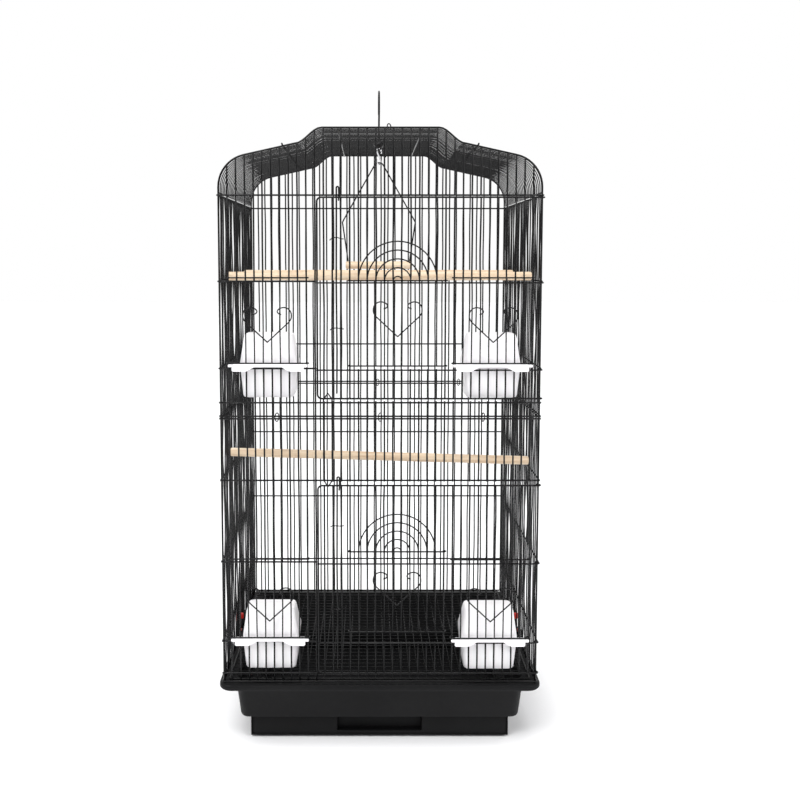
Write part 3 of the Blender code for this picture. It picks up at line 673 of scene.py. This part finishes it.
def doors():
    door("upper_door", UPPER_DOOR_RAILS, SEED + 6)
    door("lower_door", LOWER_DOOR_RAILS, SEED + 7)
    arch_door("upper_arch_door", UPPER_ARCH_RAILS, SEED + 8)
    arch_door("lower_arch_door", LOWER_ARCH_RAILS, SEED + 9)
    for k, (level, rails) in enumerate((("upper", UPPER_GATE_RAILS), ("lower", LOWER_GATE_RAILS))):
        feeder_gate(f"{level}_left_gate", -1, FRONT_Y, rails, SEED + 10 + k)
        feeder_gate(f"{level}_right_gate", 1, DOOR_Y, rails, SEED + 12 + k)
    door_bolts()
    door_stop()


def ring_clip(node, half_x, half_y, half_z, lift, radius):
    """Slanted wire ring about the middle of a clip's CAD node."""
    low, high = box_mm(node)
    middle = (low + high) / 2
    ring = []
    for k in range(20):
        across, rise = math.cos(math.tau * k / 20), math.sin(math.tau * k / 20)
        offset = Vector((half_x * across, half_y * across, lift + half_z * rise))
        ring.append(middle + offset)
    strands = Strands()
    strands.add(ring, radius, closed=True)
    strands.piece(f"{node}_ring", node)


def ring_clips():
    """Small wire rings round neighbouring frame wires."""
    for row in ("front", "back"):
        for where in ("left", "middle", "right"):
            ring_clip(f"{row}_{where}_seam_clip", 2.4, 3.1, 5.9, 0.0, 0.75)
        ring_clip(f"{row}_roof_clip", 2.6, 4.6, 4.2, 1.2, 0.8)


# ---------------------------------------------------------------- moulded parts


def rounded_ring(half_x, half_y, radius, z, corner_steps=6, middle=(0.0, 0.0)):
    """Counter-clockwise rounded rectangle at height z."""
    ring = []
    for k, (sx, sy) in enumerate(((1, -1), (1, 1), (-1, 1), (-1, -1))):
        centre = (middle[0] + sx * (half_x - radius), middle[1] + sy * (half_y - radius))
        start = -90.0 + 90.0 * k
        ring += [(u, v, z) for u, v in arc(centre, radius, start, start + 90.0, corner_steps)]
    return ring


def skin(rings, closed=False):
    """Faces between successive rings of equal length; an open skin has both ends capped."""
    vertices = [v for ring in rings for v in ring]
    size = len(rings[0])
    faces = []
    for i in range(len(rings) if closed else len(rings) - 1):
        first, second = i * size, (i + 1) % len(rings) * size
        for k in range(size):
            j = (k + 1) % size
            faces.append((first + k, first + j, second + j, second + k))
    if not closed:
        faces.append(tuple(range(size - 1, -1, -1)))
        last = (len(rings) - 1) * size
        faces.append(tuple(range(last, last + size)))
    return vertices, faces


def joined(parts):
    """Vertex and face lists of several closed shells as one."""
    vertices, faces = [], []
    for part_vertices, part_faces in parts:
        start = len(vertices)
        vertices += part_vertices
        faces += [tuple(start + i for i in face) for face in part_faces]
    return vertices, faces


def block(x0, x1, y0, y1, z0, z1, edge=1.0):
    """Box with rounded edges."""
    half_x, half_y = (x1 - x0) / 2, (y1 - y0) / 2
    middle = ((x0 + x1) / 2, (y0 + y1) / 2)
    rings = []
    steps = 3
    for k in range(steps + 1):
        a = math.pi / 2 * k / steps
        inset, rise = edge * (1 - math.sin(a)), edge * (1 - math.cos(a))
        rings.append((inset, z0 + rise))
    rings += [(inset, z1 - (z - z0)) for inset, z in reversed(rings)]
    return skin([
        rounded_ring(half_x - inset, half_y - inset, max(edge * 1.2 - inset, 0.2), z, 3, middle)
        for inset, z in rings
    ])


def base_pan():
    """Tub with a rolled rim, and the lower step that holds the tray."""
    # Half width, half depth, corner radius and height, once round the wall's section
    outside = [
        (187.2, 137.8, 8.0, TUB_FLOOR), (199.0, 149.0, 11.0, TUB_FLOOR),
        (201.8, 151.8, 12.0, TUB_FLOOR + 0.8), (203.0, 153.0, 13.0, TUB_FLOOR + 3.0),
        (208.4, 158.4, 14.0, RIM_UNDER - 1.4),
    ]
    rim = [
        (209.4, 159.4, 15.0, RIM_UNDER), (226.0, 176.0, 17.0, RIM_UNDER),
        (228.6, 178.6, 18.0, RIM_UNDER + 0.5), (229.8, 179.8, 18.5, RIM_UNDER + 2.2),
        (229.8, 179.8, 18.5, RIM_TOP - 2.6), (228.9, 178.9, 18.2, RIM_TOP - 0.8),
        (227.0, 177.0, 17.4, RIM_TOP), (209.0, 159.0, 14.0, RIM_TOP),
        (207.0, 157.0, 13.0, RIM_TOP - 0.8), (206.3, 156.3, 13.0, RIM_TOP - 2.6),
    ]
    inside = [
        (201.0, 151.0, 11.0, TUB_FLOOR + 4.0), (199.8, 149.8, 10.5, TUB_FLOOR + 2.4),
        (187.2, 137.8, 8.0, TUB_FLOOR + 2.2),
    ]
    section = outside + rim + inside
    parts = [skin([rounded_ring(*ring) for ring in section], closed=True)]
    x, y, top = STEP_HALF_X, STEP_HALF_Y, TUB_FLOOR + 0.2
    parts += [
        block(-x, -x + 2.2, -y, y, 3.2, top, 0.8),
        block(x - 2.2, x, -y, y, 3.2, top, 0.8),
        block(-x, x, y - 2.4, y, 3.2, top, 0.8),
        block(-x, x, -y, y, 3.0, 5.3, 0.9),
    ]
    for x in (-FOOT_X, FOOT_X):
        for y in (-FOOT_Y, FOOT_Y):
            foot = ((1.2, 0.0), (0.3, 0.7), (0.0, 3.6))
            rings = [rounded_ring(16 - i, 12 - i, 5 - i, z, 4, (x, y)) for i, z in foot]
            parts.append(skin(rings))
    parts += rim_pads() + latch_ears()
    piece("base_moulding", "base_pan", *joined(parts), BASE_LOOK, "base_plastic", 40.0)


def rim_pads():
    """Short raised pads along the front rim that the house stands on."""
    places = [(k - (RIM_PADS - 1) / 2) * PITCH for k in range(RIM_PADS)]
    return [
        block(x - 4.2, x + 4.2, -175.4, -172.8, RIM_TOP - 0.4, RIM_TOP + 1.2, 0.5) for x in places
    ]


def latch_ears():
    ears = []
    for side in ("left", "right"):
        low, high = box_mm(f"{side}_base_latch")
        sign = -1 if side == "left" else 1
        x0, x1 = sorted((sign * 225.2, sign * 229.8))
        for y0, y1 in ((low.y - 2.6, low.y - 0.5), (high.y + 0.5, high.y + 2.6)):
            ears.append(block(x0, x1, y0, y1, RIM_TOP - 0.5, RIM_TOP + 9.0, 0.7))
    return ears


def tray():
    """Drawer: thick front with a scooped finger recess, thin walls and floor behind it."""
    low, high = box_mm("slide_out_tray")
    x1, y0, y1, z0, z1 = high.x - 0.1, low.y, high.y, low.z, high.z
    grip, front, wall = 62.0, 13.6, 2.2
    back_of_front = y0 + front
    parts = [
        block(-x1, -grip, y0, back_of_front, z0, z1, 0.8),
        block(grip, x1, y0, back_of_front, z0, z1, 0.8),
        block(-grip - 1, grip + 1, y0 + 9.0, back_of_front, z0, z1, 0.8),
        block(-grip - 1, grip + 1, y0, y0 + 13.0, z0, 10.0, 0.8),
        block(-grip - 1, grip + 1, y0, y0 + 13.0, z1 - 4.6, z1, 0.8),
        block(-x1, -x1 + wall, y0 + 6, y1, z0, z1, 0.7),
        block(x1 - wall, x1, y0 + 6, y1, z0, z1, 0.7),
        block(-x1, x1, y1 - wall, y1, z0, z1, 0.7),
        block(-x1 + 0.5, x1 - 0.5, y0 + 6, y1 - 0.5, z0, z0 + wall, 0.6),
    ]
    piece("tray_moulding", "slide_out_tray", *joined(parts), BASE_LOOK, "base_plastic", 40.0)


def floor_grate():
    low, high = box_mm("floor_grate")
    z = (low.z + high.z) / 2
    x1, y1 = high.x - 1.2, high.y - 1.2
    strands = Strands()
    rows, columns = 28, 36
    for k in range(rows):
        y = -y1 + 2 * y1 * k / (rows - 1)
        strands.add([(-x1, y, z + 0.1), (x1, y, z + 0.1)], 0.65, 6)
    for k in range(columns):
        x = -x1 + 2 * x1 * k / (columns - 1)
        strands.add([(x, -y1, z - 0.2), (x, y1, z - 0.2)], 0.6, 6)
    border = [(x, y, z) for x, y, _ in rounded_ring(x1, y1, 6.0, z)]
    strands.add(border, 1.1, closed=True)
    strands.piece("floor_grate_wires", "floor_grate")


def cup(node, middle_x, y, top):
    """Hooded feeder cup: outer and inner skins meet at the rim of its back opening."""
    # Half width, front and back of each level, and its height over the flange
    body = [
        (32.0, 9.0, 52.0, -CUP_DEPTH), (34.6, 6.4, 54.6, -47.0), (36.0, 5.2, 56.0, -44.5),
        (37.4, 4.6, 57.5, -30.0), (38.8, 3.6, 60.5, -14.0), (39.8, 2.6, 63.0, -1.0),
        (39.8, 2.6, 63.0, 1.0), (38.8, 2.6, 58.5, 8.0), (37.2, 2.6, 53.0, 18.0),
        (35.8, 2.8, 47.5, 28.0), (34.8, 3.4, 43.0, 36.0), (33.4, 5.0, 39.5, 40.4),
        (30.4, 8.5, 35.0, 42.0),
    ]
    mouth = [(31.0, 3.5), (31.0, 20.0), (25.0, 37.5)]

    def ring(half, y0, y1, z, inset):
        half_y = (y1 - y0) / 2 - inset
        centre = (middle_x, y + (y0 + y1) / 2)
        radius = max(min(6.5 - inset, half - inset - 0.5, half_y - 0.5), 2.0)
        return rounded_ring(half - inset, half_y, radius, top + z, 5, centre)

    outer = [ring(*level, 0.0) for level in body]
    inner = []
    for half, y0, y1, z in body:
        lift = CUP_WALL if z < -46 else (-CUP_WALL if z > 41 else 0.0)
        inner.append(ring(half, y0, y1, z + lift, CUP_WALL))
    behind = (middle_x, y + 60.0)
    opening = [rounded_ring(half, 40.0, 9.0, top + z, 5, behind) for half, z in mouth]
    mesh = carved(*(mesh_of("cup", *skin(rings)) for rings in (outer, inner, opening)))
    flange = mesh_of("flange", *joined(cup_flange(middle_x, y, top)))
    whole = bmesh.new()
    whole.from_mesh(mesh)
    whole.from_mesh(flange)
    whole.to_mesh(mesh)
    whole.free()
    bpy.data.meshes.remove(flange)
    registered(f"{node}_moulding", node, mesh, CUP_LOOK, 38.0)


def carved(solid, *cutters):
    """Mesh of solid minus the cutters; all of them are used up."""
    objects = [placed("cut", mesh) for mesh in (solid, *cutters)]
    for cutter in objects[1:]:
        step = objects[0].modifiers.new("cut", "BOOLEAN")
        step.operation = "DIFFERENCE"
        step.solver = "EXACT"
        step.object = cutter
    bpy.context.view_layer.update()
    graph = bpy.context.evaluated_depsgraph_get()
    mesh = bpy.data.meshes.new_from_object(objects[0].evaluated_get(graph))
    for obj in objects:
        used = obj.data
        bpy.data.objects.remove(obj)
        bpy.data.meshes.remove(used)
    return mesh


def cup_flange(middle_x, y, top):
    """Shelf over the sill, lip and two tapered ears in front of the grille."""
    parts = [
        block(middle_x - 49, middle_x + 49, y - 2.4, y + 5.0, top - 2.9, top - 0.3, 0.7),
        block(middle_x - 55, middle_x + 55, y - 5.0, y - 1.7, top - 3.8, top - 0.1, 0.9),
    ]
    ear = [(17.0, -1.0), (50.0, -1.0), (50.0, -8.6), (48.6, -10.0)]
    ear += [(30.0, -10.0), (26.5, -8.0), (17.0, -3.0)]
    for sign in (-1, 1):
        points = [(middle_x + sign * u, top + v) for u, v in ear]
        parts.append(plate(points, y - 4.4, y - 1.7, 0.6))
    return parts


def plate(outline_xz, y0, y1, edge):
    """Flat plate of an outline in XZ, with softened edges."""
    count = len(outline_xz)
    cx = sum(x for x, _ in outline_xz) / count
    cz = sum(z for _, z in outline_xz) / count
    reach = max(math.hypot(x - cx, z - cz) for x, z in outline_xz)
    rings = []
    for y, inset in ((y0, edge), (y0 + edge, 0.0), (y1 - edge, 0.0), (y1, edge)):
        scale = 1.0 - inset / reach
        rings.append([(cx + (x - cx) * scale, y, cz + (z - cz) * scale) for x, z in outline_xz])
    return skin(rings)


def cups():
    for level in ("upper", "lower"):
        for side, sign, y in (("left", -1, FRONT_Y), ("right", 1, DOOR_Y)):
            node = f"{level}_{side}_cup"
            cup(node, sign * FEEDER_CENTRE, y, box_mm(node)[0].z + CUP_DEPTH)


def base_latches():
    """Lever, grip, nose over the cage's bottom rail, and the knob inside the side wires."""
    for side, sign in (("left", -1), ("right", 1)):
        node = f"{side}_base_latch"
        low, high = box_mm(node)
        y0, y1 = low.y, high.y
        x0, x1 = sorted((sign * 225.3, sign * 229.4))
        n0, n1 = sorted((sign * 221.4, sign * 227.0))
        k0, k1 = sorted((sign * 217.6, sign * 227.0))
        parts = [
            block(x0, x1, y0, y1, low.z, high.z - 8.0, 1.2),
            block(x0 + 0.3, x1 - 0.3, y0 - 0.8, y1 + 0.8, high.z - 14.0, high.z, 1.5),
            block(n0, n1, y0, y1, low.z + 1.4, low.z + 4.0, 0.7),
            block(k0, k1, y0 + 1.6, y1 - 1.6, high.z - 12.0, high.z - 3.0, 1.6),
        ]
        name = f"{side}_latch_lever"
        piece(name, node, *joined(parts), LATCH_LOOK, "latch_plastic", 40.0)


# ---------------------------------------------------------------- perches, swing and hook


def dowel(name, node, start, end, radius, seed):
    """Turned dowel along X with softened ends and small unevenness."""
    rng = random.Random(seed)
    sides, stations = 24, 40
    start, end = Vector(start), Vector(end)
    phase = rng.uniform(0.0, math.tau)
    profile = [(0.0, radius - 1.6), (0.5, radius - 0.7), (1.5, radius - 0.1)]
    length = (end - start).length
    for k in range(1, stations):
        s = 1.5 + (length - 3.0) * k / stations
        swell = 0.12 * math.sin(s / 17.0 + phase) + rng.uniform(-0.04, 0.04)
        profile.append((s, radius - 0.1 + swell))
    profile += [(length - s, r) for s, r in reversed(profile[:3])]
    direction = (end - start).normalized()
    across = Vector((0.0, 1.0, 0.0))
    up = direction.cross(across).normalized()
    rings = []
    for s, r in profile:
        centre = start + direction * s
        ring = []
        for k in range(sides):
            angle = math.tau * k / sides
            ring.append(centre + (across * math.cos(angle) + up * math.sin(angle)) * r)
        rings.append(ring)
    piece(name, node, *skin(rings), WOOD_LOOK, "perch_wood", 50.0)


def perches():
    for k, node in enumerate(("front_perch", "back_perch")):
        low, high = box_mm(node)
        middle = (low + high) / 2
        ends = [(low.x + 0.1, middle.y, middle.z), (high.x - 0.1, middle.y, middle.z)]
        dowel(f"{node}_dowel", node, *ends, PERCH_RADIUS, SEED + 20 + k)
    low, high = box_mm("lower_perch")
    y = (low.y + high.y) / 2
    ends = [(low.x + 0.5, y, high.z - 6.4), (high.x - 0.5, y, low.z + 6.4)]
    dowel("lower_perch_dowel", "lower_perch", *ends, PERCH_RADIUS, SEED + 22)


def swing():
    low, high = box_mm("swing_perch")
    perch_z = (low.z + high.z) / 2
    top = box_mm("swing_frame")[1].z - 1.0
    dowel("swing_dowel", "swing_perch", (low.x, 0, perch_z), (high.x, 0, perch_z), 6.0, SEED + 23)
    knee_z = top - 92.7
    half = [(48.0, perch_z), (48.6, perch_z + 9), (56.3, knee_z - 4), (57.0, knee_z)]
    half += [(55.2, knee_z + 4), (8.6, top - 7.0), (6.0, top - 2.6), (3.2, top - 0.3)]
    points = [(-x, 0.0, z) for x, z in half] + [(0.0, 0.0, top)]
    points += [(x, 0.0, z) for x, z in reversed(half)]
    strands = Strands()
    strands.add(points, 1.05)
    strands.piece("swing_wire", "swing_frame")


def hanging_hook():
    """Ceiling hook with its eye and washers, and the bright S-hook that hangs in the eye."""
    high = box_mm("top_hook")[1]
    radius, loop = 1.5, 22.0
    centre_z = high.z - radius - loop
    eye_z, eye_radius = 874.5, 4.5
    stem = [(0.0, 0.0, eye_z + eye_radius), (0.0, 0.0, 896.0), (0.0, -1.0, centre_z - loop - 9)]
    curve = [Vector((0.0, u, v)) for u, v in arc((0.0, centre_z), loop, 250.0, -25.0, 30)]
    strands = Strands()
    strands.add(smooth_path(stem, 5)[:-1] + curve, radius, 10)
    lean = math.sqrt(0.5)
    ring = arc((0.0, eye_z), eye_radius, 0.0, 345.0, 23)
    strands.add([(u * lean, -u * lean, z) for u, z in ring], 1.1, closed=True)
    for washer_z, size in ((eye_z + eye_radius - 0.6, 9.0), (883.3, 6.0)):
        strands.add([(0, 0, washer_z - 0.5), (0, 0, washer_z + 0.5)], size, 28)
    strands.piece("top_hook_wire", "top_hook")

    low, high = box_mm("s_hook")
    middle = (low.z + high.z) / 2
    wire, bend = 1.2, 5.5
    rise = (high.z - low.z) / 2 - wire - bend
    lower = [(u, v - rise) for u, v in arc((0.0, 0.0), bend, -200.0, -20.0, 16)]
    path = lower + [(-u, -v) for u, v in reversed(lower)]
    strands = Strands()
    strands.add(smooth_path([(u * lean, u * lean, middle + v) for u, v in path], 2), wire, 12)
    strands.piece("s_hook_wire", "s_hook", CHROME_LOOK, "bright_chrome")


# ---------------------------------------------------------------- stage


def floor():
    half = 12.0
    corners = [(-half, -half, 0), (half, -half, 0), (half, half, 0), (-half, half, 0)]
    mesh = bpy.data.meshes.new("floor")
    mesh.from_pydata(corners, [], [(0, 1, 2, 3)])
    m = Nodes("pale_floor")
    m.set(Base_Color=(0.93, 0.93, 0.94, 1.0), Roughness=0.9)
    mesh.materials.append(m.material)
    placed("floor", mesh)


def studio_world():
    """White backdrop where the camera looks; a soft surround, brighter behind, lights the cage."""
    world = bpy.data.worlds.new("studio")
    bpy.context.scene.world = world
    world.use_nodes = True
    tree = world.node_tree
    nodes, link = tree.nodes, tree.links.new
    lighting = nodes["Background"]
    backdrop = nodes.new("ShaderNodeBackground")
    where = nodes.new("ShaderNodeTexCoord")
    split = nodes.new("ShaderNodeSeparateXYZ")
    glow = nodes.new("ShaderNodeMapRange")
    glow.inputs["From Min"].default_value = -1.0
    glow.inputs["To Min"].default_value = 0.22
    glow.inputs["To Max"].default_value = 1.05
    seen = nodes.new("ShaderNodeLightPath")
    either = nodes.new("ShaderNodeMixShader")
    for background in (lighting, backdrop):
        background.inputs["Color"].default_value = (1.0, 1.0, 1.0, 1.0)
    link(where.outputs["Generated"], split.inputs["Vector"])
    link(split.outputs["Y"], glow.inputs["Value"])
    link(glow.outputs["Result"], lighting.inputs["Strength"])
    link(seen.outputs["Is Camera Ray"], either.inputs["Fac"])
    link(lighting.outputs["Background"], either.inputs[1])
    link(backdrop.outputs["Background"], either.inputs[2])
    link(either.outputs["Shader"], nodes["World Output"].inputs["Surface"])


def lights():
    data = bpy.data.lights.new("overhead", "SUN")
    data.energy = 1.8
    data.angle = math.radians(45.0)
    sun = placed("overhead", data)
    sun.rotation_euler = (math.radians(14.0), math.radians(-8.0), 0.0)
    for name, place, power in (
        ("key", Vector((-1.4, -1.9, 2.6)), 50.0),
        ("fill", Vector((1.8, -1.6, 1.8)), 32.0),
    ):
        data = bpy.data.lights.new(name, "AREA")
        data.shape = "DISK"
        data.size = 1.6
        data.energy = power
        light = placed(name, data)
        light.location = place
        aim = Vector((0.0, 0.0, 0.45)) - place
        light.rotation_euler = aim.to_track_quat("-Z", "Y").to_euler()


def camera():
    data = bpy.data.cameras.new("camera")
    data.sensor_width = 36.0
    data.lens = 39.56
    data.shift_x = 0.0388
    data.shift_y = -0.0975
    view = placed("camera", data)
    view.location = (-0.0155, -1.384, 0.706)
    view.rotation_euler = (math.radians(90.0 - 4.3), 0.0, 0.0)
    bpy.context.scene.camera = view
    bpy.context.scene.view_settings.view_transform = "Standard"


def main():
    front_panels()
    back_panels()
    side_panels()
    roof()
    doors()
    ring_clips()
    base_pan()
    tray()
    floor_grate()
    cups()
    base_latches()
    perches()
    swing()
    hanging_hook()
    floor()
    studio_world()
    lights()
    camera()


main()
